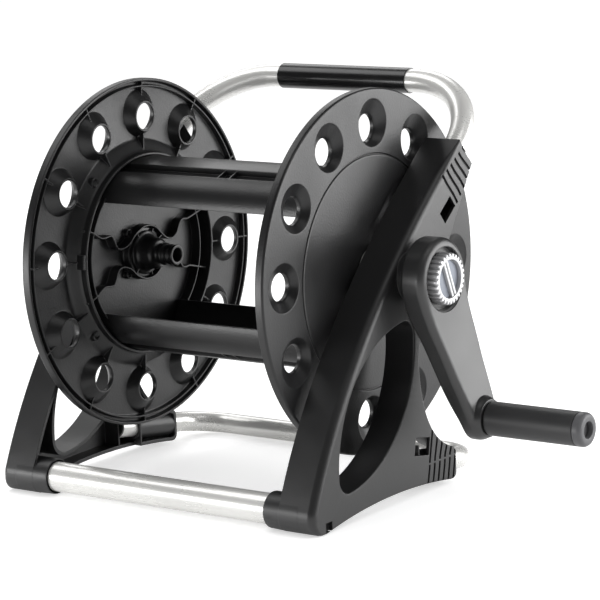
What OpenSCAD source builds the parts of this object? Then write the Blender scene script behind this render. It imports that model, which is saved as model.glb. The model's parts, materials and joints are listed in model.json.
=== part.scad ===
// Portable garden hose reel: two hollow side frames joined by metal tubes,
// a winding drum turned by a crank, and a water path through the drum's left end.
// X runs along the drum axle towards the crank, Y towards the carry handle, Z up.

/* [Stance] */
// Height of the drum axle above the floor
axle_height = 184; // [178:1:215]
// How far the front feet reach ahead of the axle
front_reach = 147; // [140:1:160]
// How far the rear ends of the side frames reach behind the axle
rear_reach = 59; // [54:1:75]
// Rise of the arch between the front and rear feet
arch_rise = 9; // [5:0.5:12]

/* [Side frames] */
// Clear distance between the two side frames
frame_gap = 255; // [252:1:270]
// Depth of each side frame, across its front wall
frame_depth = 34; // [32:0.5:40]
// Thickness of the outer skin
skin_t = 3; // [2.5:0.25:4]
// Thickness of the edge walls
wall_t = 3; // [2:0.25:4]
// Depth of the edge walls along the bottom and the rear
low_wall_depth = 18; // [12:1:24]
// Half length of the leaf opening before its tips are rounded
leaf_half_l = 82; // [70:1:84]
// Half width of the leaf opening
leaf_half_w = 38; // [28:1:40]
// Radius of the leaf opening's tips
leaf_tip_r = 13; // [8:1:16]
// Outer radius of the bearing boss
boss_r = 23; // [21.5:0.5:26]
// How far the crank side's bearing boss stands out from the skin
axle_boss_out = 9.5; // [4:0.5:14]

/* [Tubes] */
// Diameter of the front tube
front_tube_d = 25; // [22:0.5:26]
// Diameter of the rear bow tube
rear_tube_d = 18; // [16:0.5:19]
// Diameter of the handle bow tube
handle_tube_d = 20; // [18:0.5:22]
// Wall of all three tubes
tube_wall = 1.5; // [1:0.1:2.5]
// Bend radius of the rear bow tube
rear_bend_r = 36; // [30:1:42]
// Bend radius of the handle bow tube
handle_bend_r = 75; // [50:1:77]
// How far the rear bow stands behind the side frames
rear_bow_out = 50; // [44:1:70]
// Downward tilt of the rear bow tube, in degrees
rear_tilt = 8.5; // [4:0.5:10]
// Height of the handle tube above the axle
handle_rise = 138; // [133:1:150]
// Distance of the handle tube behind the axle
handle_back = 148; // [142:1:160]
// Tilt of the handle sockets from upright, in degrees
handle_tilt = 51.5; // [49:0.5:54]
// Length of handle tube between the sockets and the handle's middle line
handle_out = 78; // [77:1:90]
// Length of the grip sleeve on the handle
grip_sleeve_l = 134; // [100:1:140]
// Wall of the grip sleeve
grip_sleeve_t = 1; // [0.8:0.1:3]

/* [Drum] */
// Diameter of the two drum flanges
flange_d = 300; // [280:1:320]
// Clear width between the flange rims
winding_w = 231; // [200:1:232]
// Width of a flange rim
rim_w = 8; // [6:0.5:8.5]
// Thickness of a flange's plate
plate_t = 3; // [2:0.25:3.5]
// Number of holes round a flange
hole_n = 12; // [10:1:12]
// Diameter of the holes
hole_d = 23; // [16:0.5:24]
// Diameter of the circle of hole centres
hole_circle_d = 237; // [230:1:240]
// Diameter of the sunk cone round each hole
cone_d = 39; // [34:0.5:40]
// Depth of the sunk cone
cone_depth = 7; // [4:0.5:9]
// Angle of the drum at rest, in degrees
drum_turn = -3.5; // [-10:0.5:10]
// Radius of the drum core
core_r = 84; // [80:1:88]
// Half angle of the core's crown, in degrees
crown_half = 28.5; // [26:0.5:30]
// Radius of the rounded shoulders of a core bar
shoulder_r = 27; // [24:1:29]
// Thickness of a core bar's shell
bar_t = 3; // [2:0.25:4]
// Radius of the drum's shaft ends
shaft_r = 15; // [14:0.25:16]

/* [Crank] */
// Distance from the axle to the crank grip
crank_throw = 120; // [105:1:125]
// Angle of the crank from straight down at rest, in degrees
crank_turn = 12; // [-20:0.5:20]
// Outer radius of the crank's hub
crank_hub_r = 33; // [30:0.5:36]
// Width of the crank's hub along the axle
crank_hub_w = 21; // [18:0.5:26]
// Outer radius of the crank's free end
crank_end_r = 18.5; // [17:0.5:22]
// How far the crank's free end stands out from its hub
crank_offset = 22; // [14:0.5:30]
// Width of the crank's free end along the axle
crank_end_w = 14; // [12:0.5:18]
// Radius of the crank grip
grip_r = 14; // [12:0.5:15]
// Length of the crank grip
grip_l = 86; // [70:1:100]
// Radius of the grip's pin
pin_r = 5; // [4:0.25:6]
// Radius of the lock knob
knob_r = 21; // [19:0.5:22]
// Number of teeth round the lock knob
knob_teeth = 28; // [20:1:32]

/* [Water path] */
// Radius of the inlet's spigot inside the drum
spigot_r = 9; // [8.5:0.25:10]
// Radius of the water bore
water_r = 5.5; // [4.5:0.25:6]
// Radius of a hose connector nose
nose_r = 8.8; // [8.5:0.1:9.2]
// Length of a hose connector nose
nose_l = 21; // [19:0.5:26]
// Distance of the drum's outlet nose from the middle of the drum
outlet_x = 79; // [70:1:84]

/* [Fits] */
// Running clearance on a radius
run_gap = 0.05; // [0.02:0.01:0.1]
// Clearance of a tube in its socket, on a radius
socket_gap = 0.1; // [0.05:0.05:0.3]
// Clearance between faces that turn past each other
face_gap = 0.4; // [0.3:0.1:1]

/* [Hidden] */
$fn = 96;

// Places along the axle
inner_x = frame_gap / 2;
outer_x = inner_x + frame_depth;
rim_in_x = winding_w / 2;
rim_out_x = rim_in_x + rim_w;
plate_in_x = rim_out_x - plate_t;
flange_r = flange_d / 2;

// Side frame outline, measured from the axle
floor_z = -axle_height;
foot_corner_r = 8;
front_lean = 22.5;
front_tube_r = front_tube_d / 2;
front_boss_r = front_tube_r + 2.5;
front_tube_y = -front_reach + front_boss_r;
front_tube_z = floor_z + front_boss_r;
boss_out = 15;
boss_inset = 0.3;
rear_tube_r = rear_tube_d / 2;
rear_socket_r = rear_tube_r + 2.5;
rear_bar_z = floor_z + rear_tube_r;
rear_mouth_z = rear_bar_z + rear_bow_out * tan(rear_tilt);
rear_top_z = rear_mouth_z + rear_socket_r;
rear_leg_x = outer_x - skin_t - 1.5 - rear_tube_r;
rear_foot_lift = 3;
rear_corner_r = 5.5;
rear_block_w = 2 * rear_socket_r;
handle_tube_r = handle_tube_d / 2;
handle_leg_x = outer_x - skin_t - 0.5 - handle_tube_r;
socket_half_w = handle_tube_r + 4.2;
socket_l = 46;
rear_socket_l = 51;
rear_rib_pitch = 22;
groove_w = 2.6;
groove_depth = 1.8;
rear_rib_y = rear_reach - rear_socket_l;
rear_leg_l = (rear_socket_l + rear_rib_pitch - 2) / cos(rear_tilt);
socket_dir = [sin(handle_tilt), cos(handle_tilt)];
socket_side = [cos(handle_tilt), -sin(handle_tilt)];
mouth = [handle_back, handle_rise] - handle_out * socket_dir;
mouth_front = mouth - socket_half_w * socket_side;
mouth_rear = mouth + socket_half_w * socket_side;
front_ctrl = [-0.62 * front_reach, -0.17 * axle_height];
bay_depth = 51;
bay_h = 81;
groove_n = 6;
front_foot_l = 19;
leaf_tilt = 49;
leaf_mid = [-0.367 * front_reach, -0.527 * axle_height];

// Bearings
bush_t = 3;
bush_r = shaft_r + run_gap + bush_t;
bush_flange_r = bush_r + 3.5;
bush_flange_t = inner_x - rim_out_x - 2 * face_gap;
left_bush_l = 24;

// Crank and knob
axle_boss_x = outer_x + axle_boss_out;
crank_x = axle_boss_x + 1.5;
crank_face_x = crank_x + crank_hub_w;
crank_end_x = crank_face_x + crank_offset;
crank_collar_l = 5.5;
crank_tip_x = crank_end_x + crank_collar_l;
knob_recess = 5;
knob_t = 10.5;
knob_ring_gap = 4.3;
knob_floor_x = crank_face_x - knob_recess;
square_half = 0.68 * shaft_r;
stem_r = 6;
stem_l = 16;
grip_x = crank_tip_x + 2;
end_cap_l = 8;

// Water path
elbow_r = spigot_r + 2.5;
elbow_x = outer_x + elbow_r + 3;
inlet_drop = 24;
seal_t = 1.6;

// Overall extent, used to centre the model on its base
x_min = -(elbow_x + elbow_r);
x_max = grip_x + grip_l;
y_min = -max(front_reach, flange_r);
y_max = handle_back + handle_tube_r + grip_sleeve_t;
base_mid = [-(x_min + x_max) / 2, -(y_min + y_max) / 2, axle_height];

module placed() { translate(base_mid) children(); }
module along_x(x = 0) { translate([x, 0, 0]) rotate([0, 90, 0]) children(); }
module side_plate(x, t) { translate([x, 0, 0]) rotate([90, 0, 90]) linear_extrude(t) children(); }
module drum_frame() { placed() rotate([drum_turn, 0, 0]) children(); }
module crank_frame() { placed() rotate([crank_turn, 0, 0]) children(); }

function curve(a, b, c, n = 14) =
  [for (i = [0:n]) let (t = i / n) (1 - t) * (1 - t) * a + 2 * t * (1 - t) * b + t * t * c];
function arc(c, r, a0, a1, n = 10) =
  [for (i = [0:n]) let (a = a0 + (a1 - a0) * i / n) c + r * [cos(a), sin(a)]];

// ---------- side frames ----------

front_tube_at = [front_tube_y, front_tube_z];
front_start = front_tube_at + front_boss_r * [-cos(front_lean), sin(front_lean)];
rear_corner = [rear_reach - rear_corner_r, rear_top_z - 3];
bay_in = [rear_reach - bay_depth, rear_top_z + bay_h];
bay_top = bay_in + [3.8, 20];

module frame_outline() {
  foot_back = [-front_reach + front_foot_l, floor_z];
  rear_heel = [rear_reach - rear_corner_r, floor_z + rear_foot_lift];
  polygon(concat(
    arc([-front_reach + foot_corner_r, floor_z + foot_corner_r], foot_corner_r, 270, 180, 6),
    arc(front_tube_at, front_boss_r, 180, 180 - front_lean + 2, 4),
    curve(front_start, front_ctrl, mouth_front, 24),
    curve(mouth_rear, mouth_rear - 62 * [sin(34), cos(34)], bay_top + [0.6, 1], 12),
    curve(bay_top, bay_in + [-0.3, 12], bay_in, 5),
    curve(bay_in - [0, 1], [bay_in[0] + 2.4, rear_top_z + 17.5], rear_corner + rear_corner_r * [cos(70), sin(70)], 18),
    arc(rear_corner, rear_corner_r, 60, 0, 5),
    arc(rear_heel + [0, rear_corner_r], rear_corner_r, 0, -90, 6),
    curve(rear_heel - [2, 0], [leaf_mid[0] + 14, floor_z + 2 * arch_rise - rear_foot_lift / 2], foot_back, 18)
  ));
}

function but_first(v) = [for (i = [1:len(v) - 1]) v[i]];

// Pointed opening with two bowed sides and rounded tips
module leaf(grow = 0) {
  lens_r = (leaf_half_l * leaf_half_l + leaf_half_w * leaf_half_w) / (2 * leaf_half_w);
  side_mid = lens_r - leaf_half_w;
  core = lens_r - leaf_tip_r;
  tip = sqrt(core * core - side_mid * side_mid);
  turn = atan2(side_mid, tip);
  translate(leaf_mid) rotate(leaf_tilt) polygon(concat(
    but_first(arc([tip, 0], leaf_tip_r + grow, -turn, turn, 12)),
    but_first(arc([0, -side_mid], lens_r + grow, turn, 180 - turn, 26)),
    but_first(arc([-tip, 0], leaf_tip_r + grow, 180 - turn, 180 + turn, 12)),
    but_first(arc([0, side_mid], lens_r + grow, 180 + turn, 360 - turn, 26))
  ));
}

module top_socket_block() {
  polygon([mouth_front, mouth_rear, mouth_rear - socket_l * socket_dir, mouth_front - socket_l * socket_dir]);
}

// Region where the edge wall keeps its full depth: the front leg and the top
module deep_region() {
  out = 20;
  polygon([[-front_reach - out, floor_z - out], [-front_reach + front_foot_l + 12, floor_z - out],
    [-front_reach + 46, floor_z + 30], leaf_mid + [-8, 27], [bay_in[0] + 21, 5],
    mouth_rear + [out, -out], mouth_rear + [out, out], mouth_front + [0, out], [-front_reach - out, mouth_front[1]]]);
}

// A groove with a slight wave, from point a to point b
module wavy_groove(w, a, b, swing = 0.4) {
  n = 12;
  side = [b[1] - a[1], a[0] - b[0]] / norm(b - a);
  mid = [for (i = [0:n]) a + (b - a) * i / n + swing * sin(360 * i / n) * side];
  polygon(concat([for (i = [0:n]) mid[i] - w / 2 * side], [for (i = [n:-1:0]) mid[i] + w / 2 * side]));
}

module at_handle_leg() {
  translate([handle_leg_x, mouth[0], mouth[1]]) rotate([-handle_tilt, 0, 0]) children();
}

module at_rear_leg() {
  translate([rear_leg_x, rear_reach, rear_mouth_z]) rotate([90 - rear_tilt, 0, 0]) children();
}

module side_frame_shell() {
  difference() {
    union() {
      side_plate(outer_x - skin_t, skin_t) difference() { frame_outline(); leaf(); }
      side_plate(outer_x - low_wall_depth, low_wall_depth - 1)
        difference() { frame_outline(); offset(delta = -wall_t) frame_outline(); leaf(); }
      side_plate(inner_x, frame_depth - 1) difference() {
        intersection() { frame_outline(); deep_region(); }
        offset(delta = -wall_t) frame_outline();
        leaf();
      }
      side_plate(inner_x + 6, frame_depth - 7) intersection() {
        difference() { leaf(wall_t); leaf(); }
        frame_outline();
      }
      // cross ribs from the leaf opening to the rear tube's leg and to the boss
      side_plate(outer_x - low_wall_depth, low_wall_depth - 1) difference() {
        intersection() {
          frame_outline();
          union() {
            translate([rear_rib_y - rear_rib_pitch, floor_z]) square([wall_t / 2, bay_h]);
            translate([leaf_mid[0], -1]) square([bay_h, wall_t / 2]);
          }
        }
        leaf();
      }
      // deeper block round the rear tube's socket
      side_plate(rear_leg_x - rear_socket_r, rear_block_w) intersection() {
        frame_outline();
        union() {
          difference() {
            translate([rear_rib_y, floor_z]) square([bay_depth + 10, bay_h / 2]);
            offset(delta = -wall_t) frame_outline();
          }
          translate([rear_rib_y, floor_z]) square([wall_t / 2, bay_h / 2]);
        }
      }
      // bearing boss
      along_x(inner_x) cylinder(h = frame_depth - 1, r = boss_r);
      // handle socket
      side_plate(inner_x, frame_depth - 1) intersection() { frame_outline(); top_socket_block(); }
      // front tube socket
      translate([0, front_tube_y, front_tube_z])
        along_x(inner_x - boss_out) cylinder(h = frame_depth + boss_out - 1, r = front_boss_r - boss_inset);
      // rear tube socket
      intersection() {
        at_rear_leg() translate([0, 0, -5]) cylinder(h = rear_socket_l + 5, r = rear_socket_r);
        side_plate(inner_x, frame_depth - 1) frame_outline();
      }
    }
    // bores of the three tube sockets
    translate([0, front_tube_y, front_tube_z])
      along_x(inner_x - boss_out - 1) cylinder(h = frame_depth + boss_out - 5, r = front_tube_r + socket_gap);
    at_rear_leg() translate([0, 0, -8]) cylinder(h = rear_leg_l + 8, r = rear_tube_r + socket_gap);
    at_handle_leg() translate([0, 0, 2 - socket_l]) cylinder(h = socket_l, r = handle_tube_r + socket_gap);
    // windows through the skin beside the rear and handle sockets
    side_plate(outer_x - skin_t - 1, skin_t + 2) {
      translate(mouth - [31, 44]) rotate(90 - handle_tilt) square([20, 12], center = true);
      translate([rear_reach - 51, rear_mouth_z + 24]) rotate(-10) square([21, 15], center = true);
      translate([-front_reach + 21, floor_z + 5]) square([9, 8], center = true);
    }
    // grip grooves on the skin over both sockets
    side_plate(outer_x - groove_depth, groove_depth + 1) {
      for (i = [0:groove_n - 1]) {
        t = i / (groove_n - 1);
        wavy_groove(groove_w, mouth + [-6, 4.5] - t * [30.5, 19.5], mouth + [11, -12.5] - t * [27, 28]);
        lower = [rear_reach - 6.5 - 38.5 * t, floor_z + 3];
        bend = [rear_reach - 3 - 38 * t, floor_z + 20.5];
        upper = [rear_reach - 1 - 34 * t, rear_top_z + 3 + 21 * t * t];
        wavy_groove(groove_w, lower, bend, 0);
        wavy_groove(groove_w, bend + [0.6, 6], upper, 0);
      }
    }
  }
}

module screw_places(x_sign) {
  // rear face of the front tube's boss
  translate([x_sign * (inner_x - boss_out / 2), front_tube_y + front_boss_r - boss_inset, front_tube_z])
    rotate([-90, 0, 0]) children();
  // underside of the rear socket
  translate([x_sign * rear_leg_x, rear_reach - 0.6 * rear_socket_l, floor_z + 0.7 * arch_rise])
    rotate([180, 0, 0]) children();
  // inner face of the handle socket
  translate([x_sign * inner_x, mouth[0] - 14 * socket_dir[0], mouth[1] - 14 * socket_dir[1]])
    rotate([0, -x_sign * 90, 0]) children();
}

screw_r = 2;
screw_head_r = 3.8;
screw_l = 8;

module screw_holes() {
  for (s = [-1, 1]) screw_places(s) {
    translate([0, 0, -screw_l - 2]) cylinder(h = screw_l + 4, r = screw_r + run_gap, $fn = 32);
    cylinder(h = 4, r = screw_head_r + 0.3, $fn = 32);
  }
}

module tube_screws() {
  color("silver") placed() for (s = [-1, 1]) screw_places(s) {
    translate([0, 0, -screw_l]) cylinder(h = screw_l, r = screw_r, $fn = 32);
    difference() {
      cylinder(h = 2.4, r = screw_head_r, $fn = 32);
      for (a = [0, 90]) translate([0, 0, 2.4]) rotate(a) cube([5, 1, 1.6], center = true);
    }
  }
}

module right_side_frame() {
  color("dimgray") placed() difference() {
    union() {
      side_frame_shell();
      along_x(outer_x - 2) cylinder(h = axle_boss_out + 2, r = boss_r);
    }
    along_x(inner_x - 1) cylinder(h = frame_depth + axle_boss_out + 2, r = bush_r + run_gap);
    screw_holes();
  }
}

module left_side_frame() {
  color("dimgray") placed() difference() {
    mirror([1, 0, 0]) side_frame_shell();
    along_x(-outer_x + skin_t) cylinder(h = frame_depth, r = bush_r + run_gap);
    along_x(-outer_x - 1) cylinder(h = skin_t + 2, r = spigot_r + 0.3);
    screw_holes();
  }
}

// ---------- tubes ----------

module ring_tube(r) {
  difference() { circle(r); circle(r - tube_wall); }
}

module front_tube() {
  l = 2 * (inner_x + frame_depth - 7);
  color("gainsboro") placed() difference() {
    translate([0, front_tube_y, front_tube_z]) along_x(-l / 2) linear_extrude(l) ring_tube(front_tube_r);
    screw_holes();
  }
}

// A U of tube in the XY plane: legs along -Y at +-leg_x, bar at y = 0
module bow(r, leg_x, bend_r, leg_l) {
  bar_l = 2 * (leg_x - bend_r);
  along_x(-bar_l / 2) linear_extrude(bar_l) ring_tube(r);
  for (s = [-1, 1]) {
    translate([s * (leg_x - bend_r), -bend_r, 0]) mirror([s < 0 ? 1 : 0, 0, 0])
      rotate_extrude(angle = 90) translate([bend_r, 0]) ring_tube(r);
    translate([s * leg_x, -bend_r, 0]) rotate([90, 0, 0]) linear_extrude(leg_l - bend_r) ring_tube(r);
  }
}

module rear_bow_tube() {
  bow_y = rear_reach + rear_bow_out;
  color("gainsboro") placed() difference() {
    translate([0, bow_y, rear_bar_z]) rotate([-rear_tilt, 0, 0])
      bow(rear_tube_r, rear_leg_x, rear_bend_r, rear_bow_out / cos(rear_tilt) + rear_leg_l - 1);
    screw_holes();
  }
}

module handle_bow_tube() {
  color("gainsboro") placed() difference() {
    translate([0, handle_back, handle_rise]) rotate([90 - handle_tilt, 0, 0])
      bow(handle_tube_r, handle_leg_x, handle_bend_r, handle_out + socket_l - 4);
    screw_holes();
  }
}

module handle_grip() {
  r = handle_tube_r + grip_sleeve_t;
  color("black") placed() translate([0, handle_back, handle_rise]) along_x(-grip_sleeve_l / 2)
    difference() {
      cylinder(h = grip_sleeve_l, r = r);
      translate([0, 0, -1]) cylinder(h = grip_sleeve_l + 2, r = handle_tube_r + run_gap);
    }
}

// ---------- bearings ----------

module bush(l) {
  difference() {
    union() {
      cylinder(h = l, r = bush_r);
      translate([0, 0, -bush_flange_t]) cylinder(h = bush_flange_t, r = bush_flange_r);
    }
    translate([0, 0, -bush_flange_t - 1]) cylinder(h = l + bush_flange_t + 2, r = shaft_r + run_gap);
  }
}

module right_bearing_bush() { color("whitesmoke") placed() along_x(inner_x) bush(frame_depth + axle_boss_out); }

module left_bearing_bush() {
  color("whitesmoke") placed() mirror([1, 0, 0]) along_x(inner_x) bush(left_bush_l);
}

// ---------- drum ----------

collar_h = 13;
collar_t = 2.5;
rib_t = 1.6;
lip_r = flange_r - 6;

function wave(y) = 18 + 7 * cos(y * 360 / 66) ;

module wavy_rib(sign) {
  n = 40;
  reach = core_r - 2;
  ys = [for (i = [0:n]) -reach + 2 * reach * i / n];
  polygon(concat([for (y = ys) [y, sign * wave(y) - rib_t / 2]],
    [for (i = [n:-1:0]) [ys[i], sign * wave(ys[i]) + rib_t / 2]]));
}

hub_r = 32;
hub_screw_circle = 25;
hub_screw_n = 4;

// Flange with its plate on the outside, drawn on the +X side
module flange() {
  cone_r = cone_d / 2;
  hole_r = hole_d / 2;
  difference() {
    union() {
      along_x(plate_in_x) cylinder(h = plate_t, r = flange_r);
      // rim and inner lip
      along_x(rim_in_x) linear_extrude(rim_w - 1) difference() { circle(flange_r); circle(flange_r - 2.5); }
      along_x(rim_in_x + 1) linear_extrude(rim_w - 2) difference() { circle(lip_r); circle(lip_r - 1.5); }
      // collar that carries the core bars
      along_x(plate_in_x - collar_h) linear_extrude(collar_h + 1)
        difference() { circle(core_r + collar_t + 0.3); circle(core_r + 0.3); }
      // second ring, open where the core bars stand
      side_plate(plate_in_x - 4, 5) difference() {
        circle(core_r - 9);
        circle(core_r - 10.5);
        for (a = [0, 180]) rotate(a) bar_profile(-face_gap);
      }
      // cone bosses and the ribs that tie them to rim and collar
      for (i = [0:hole_n - 1]) rotate([i * 360 / hole_n, 0, 0]) {
        translate([0, 0, hole_circle_d / 2]) along_x(rim_out_x - cone_depth - 2.5)
          cylinder(h = cone_depth + 2, r1 = hole_r + 2, r2 = cone_r + 1.5);
        translate([plate_in_x - 4, -rib_t / 2, core_r + 1]) cube([5, rib_t, lip_r - core_r - 2]);
      }
      // wavy stiffening ribs and the hub
      side_plate(plate_in_x - 9, 10) difference() {
        union() { wavy_rib(1); wavy_rib(-1); }
        circle(hub_r - 1);
      }
      along_x(plate_in_x - 6) cylinder(h = 7, r = hub_r);
    }
    for (i = [0:hole_n - 1]) rotate([i * 360 / hole_n, 0, 0]) translate([0, 0, hole_circle_d / 2]) {
      along_x(rim_out_x - cone_depth) cylinder(h = cone_depth + 0.01, r1 = hole_r + 0.5, r2 = cone_r);
      along_x(rim_in_x - 10) cylinder(h = 30, r = hole_r);
    }
    // groove round the sunk centre of the outer face
    along_x(rim_out_x - 1) linear_extrude(2) difference() { circle(core_r + 13.5); circle(core_r + 11.5); }
    along_x(rim_out_x - 60) cylinder(h = 80, r = shaft_r + run_gap);
    for (i = [0:hub_screw_n - 1]) rotate([45 + i * 360 / hub_screw_n, 0, 0]) translate([0, 0, hub_screw_circle])
      along_x(plate_in_x - 8) cylinder(h = 20, r = screw_r + run_gap, $fn = 32);
    core_screw_holes();
  }
}

module left_flange() { color("dimgray") drum_frame() mirror([1, 0, 0]) flange(); }
module right_flange() { color("dimgray") drum_frame() flange(); }

shoulder_c = (core_r - shoulder_r) * [sin(crown_half), cos(crown_half)];
bar_skirt_z = shoulder_c[1] - 3;
crown_lap = 1.2;

module bar_profile(r_drop) {
  intersection() {
    union() {
      intersection() {
        circle(core_r - r_drop);
        polygon([[0, 0], 200 * [-tan(crown_half - crown_lap), 1], 200 * [tan(crown_half - crown_lap), 1]]);
      }
      for (s = [-1, 1]) translate([s * shoulder_c[0], shoulder_c[1]]) circle(shoulder_r - r_drop);
    }
    translate([-100, bar_skirt_z]) square([200, 100]);
  }
}

channel_in = 15;
channel_out = 27;
channel_depth = 6;
rib_a = (channel_in + channel_out) / 2;
rib_pitch = 28;

function ray(r, a) = [r * sin(a), r * cos(a)];

module channel(s, r0, r1, grow = 0) {
  a0 = s * (channel_in - grow);
  a1 = s * (channel_out + grow);
  polygon([ray(r0, a0), ray(r1, a0), ray(r1, a1), ray(r0, a1)]);
}

bar_half_l = plate_in_x - face_gap / 4;
channel_wall_t = 2;

// Cross section of a core bar: a shell, open below, with two channels sunk in its crown
module bar_section() {
  difference() {
    bar_profile(0);
    difference() {
      translate([0, -bar_t / 2]) bar_profile(bar_t);
      for (s = [-1, 1]) channel(s, core_r - channel_depth - channel_wall_t, core_r - bar_t / 4, 1.3);
    }
    for (s = [-1, 1]) channel(s, core_r - channel_depth, core_r + 2);
  }
}

module core_bar() {
  difference() {
    union() {
      side_plate(-bar_half_l, 2 * bar_half_l) bar_section();
      // diagonal ribs across the channels
      for (s = [-1, 1], x = [-3 * rib_pitch:rib_pitch:3 * rib_pitch]) intersection() {
        side_plate(x - 20, 40) intersection() {
          channel(s, core_r - channel_depth - 0.6, core_r + 2, 0.5);
          circle(core_r - 1.2);
        }
        translate([x, 0, core_r]) translate([0, s * core_r * sin(rib_a), 0])
          rotate([0, 0, 40]) cube([1.6, 60, 60], center = true);
      }
      // end walls that carry the screws
      for (s = [-1, 1]) side_plate(s > 0 ? bar_half_l - 5 : -bar_half_l, 5) difference() {
        translate([0, -bar_t / 4]) bar_profile(bar_t / 2);
        translate([0, 10]) circle(core_r - 34);
      }
    }
    core_screw_holes();
    mirror([1, 0, 0]) core_screw_holes();
  }
}

module upper_core_bar() { color("dimgray") drum_frame() core_bar(); }
module lower_core_bar() { color("dimgray") drum_frame() rotate([180, 0, 0]) core_bar(); }

core_screw_r = core_r - 11;
core_screw_a = 26;

module core_screw_places() {
  for (b = [0, 180], a = [-core_screw_a, core_screw_a]) rotate([b + a, 0, 0])
    translate([rim_out_x, 0, core_screw_r]) children();
}

module core_screw_holes() {
  core_screw_places() {
    translate([-14, 0, 0]) along_x() cylinder(h = 20, r = screw_r + run_gap, $fn = 32);
    translate([-1.2, 0, 0]) along_x() cylinder(h = 5, r = screw_head_r + 0.3, $fn = 32);
  }
}

module core_screws() {
  color("silver") drum_frame() for (s = [0, 1]) mirror([s, 0, 0]) core_screw_places() {
    translate([-10, 0, 0]) along_x() cylinder(h = 9.2, r = screw_r, $fn = 32);
    translate([-1.2, 0, 0]) along_x() cylinder(h = 1.2, r = screw_head_r, $fn = 32);
  }
}

// ---------- shaft ends ----------

shaft_flange_t = 4;
shaft_flange_x = plate_in_x - 6 - shaft_flange_t;

module hub_flange() {
  difference() {
    along_x(shaft_flange_x) cylinder(h = shaft_flange_t, r = hub_r - 2);
    for (i = [0:hub_screw_n - 1]) rotate([45 + i * 360 / hub_screw_n, 0, 0]) translate([0, 0, hub_screw_circle])
      along_x(shaft_flange_x - 1) cylinder(h = shaft_flange_t + 2, r = screw_r + run_gap, $fn = 32);
  }
}

module hub_screw_set() {
  for (i = [0:hub_screw_n - 1]) rotate([45 + i * 360 / hub_screw_n, 0, 0]) translate([0, 0, hub_screw_circle]) {
    along_x(shaft_flange_x - 2.4) cylinder(h = 2.4, r = screw_head_r, $fn = 32);
    along_x(shaft_flange_x) cylinder(h = shaft_flange_t + 5, r = screw_r, $fn = 32);
  }
}

module drive_shaft() {
  color("darkslategray") drum_frame() difference() {
    union() {
      hub_flange();
      along_x(shaft_flange_x) cylinder(h = crank_x - shaft_flange_x, r = shaft_r);
      intersection() {
        along_x(crank_x - 1) cylinder(h = knob_floor_x - crank_x + 1, r = shaft_r);
        translate([crank_x - 2, -square_half, -square_half])
          cube([crank_hub_w, 2 * square_half, 2 * square_half]);
      }
    }
    along_x(knob_floor_x - stem_l - 2) cylinder(h = stem_l + 4, r = stem_r + run_gap);
    along_x(shaft_flange_x - 1) cylinder(h = 30, r = stem_r);
  }
}

module shaft_screws() { color("silver") drum_frame() hub_screw_set(); }
module spindle_screws() { color("silver") drum_frame() mirror([1, 0, 0]) hub_screw_set(); }

// A hose connector nose pointing along +Z, with its base at z = 0
module nose(l) {
  cylinder(h = l, r = nose_r - 1.5);
  cylinder(h = l * 0.22, r = nose_r + 1.4);
  translate([0, 0, l * 0.42]) cylinder(h = l * 0.16, r = nose_r);
  translate([0, 0, l * 0.70]) cylinder(h = l * 0.10, r = nose_r - 0.6);
  translate([0, 0, l * 0.88]) cylinder(h = l * 0.12, r = nose_r - 0.6);
}

module nose_seal(l) {
  translate([0, 0, l * 0.84]) rotate_extrude() translate([nose_r - 1.5 + 0.75, 0]) circle(0.72, $fn = 24);
}

spindle_end_x = inner_x + left_bush_l;

module water_spindle() {
  color("darkslategray") drum_frame() mirror([1, 0, 0]) difference() {
    union() {
      hub_flange();
      along_x(shaft_flange_x) cylinder(h = spindle_end_x - shaft_flange_x, r = shaft_r);
      along_x(outlet_x + nose_l) cylinder(h = shaft_flange_x - outlet_x - nose_l + 1, r = 12.5);
      translate([outlet_x + nose_l + 1, 0, 0]) rotate([0, -90, 0]) nose(nose_l + 1);
    }
    along_x(shaft_flange_x + 4) cylinder(h = 60, r = spigot_r + run_gap);
    along_x(outlet_x - 1) cylinder(h = 80, r = water_r);
  }
}

module outlet_seal() {
  color("black") drum_frame() mirror([1, 0, 0])
    translate([outlet_x + nose_l + 1, 0, 0]) rotate([0, -90, 0]) nose_seal(nose_l + 1);
}

// ---------- crank ----------

blend_in = 0.3;

// The crank seen along the axle: a wide hub, a tapering arm and a narrow end
module crank_outline(w) {
  lean = asin((crank_hub_r - crank_end_r) / crank_throw);
  edge = [cos(lean), -sin(lean)];
  wide = (crank_hub_r - blend_in) * edge;
  narrow = (crank_end_r - blend_in) * edge;
  along_x(crank_x) cylinder(h = w, r = crank_hub_r);
  translate([0, 0, -crank_throw]) along_x(crank_x) cylinder(h = w, r = crank_end_r);
  side_plate(crank_x, w)
    polygon([wide, narrow - [0, crank_throw], [-narrow[0], narrow[1] - crank_throw], [-wide[0], wide[1]]]);
}

// Side view of the crank: a level hub, then an arm that slopes outwards to its free end
module crank_side() {
  end_z = -crank_throw - crank_end_r;
  end_in_x = crank_end_x - crank_end_w;
  polygon([[crank_x, crank_hub_r], [crank_face_x, crank_hub_r], [crank_face_x, -0.56 * crank_hub_r],
    [crank_end_x, -crank_throw - 4], [crank_end_x, end_z], [end_in_x, end_z], [end_in_x, -crank_throw - 4],
    [end_in_x - 8, -crank_throw + 17], [crank_x + 0.36 * crank_hub_w, -1.36 * crank_hub_r],
    [crank_x, -0.82 * crank_hub_r]]);
}

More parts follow.
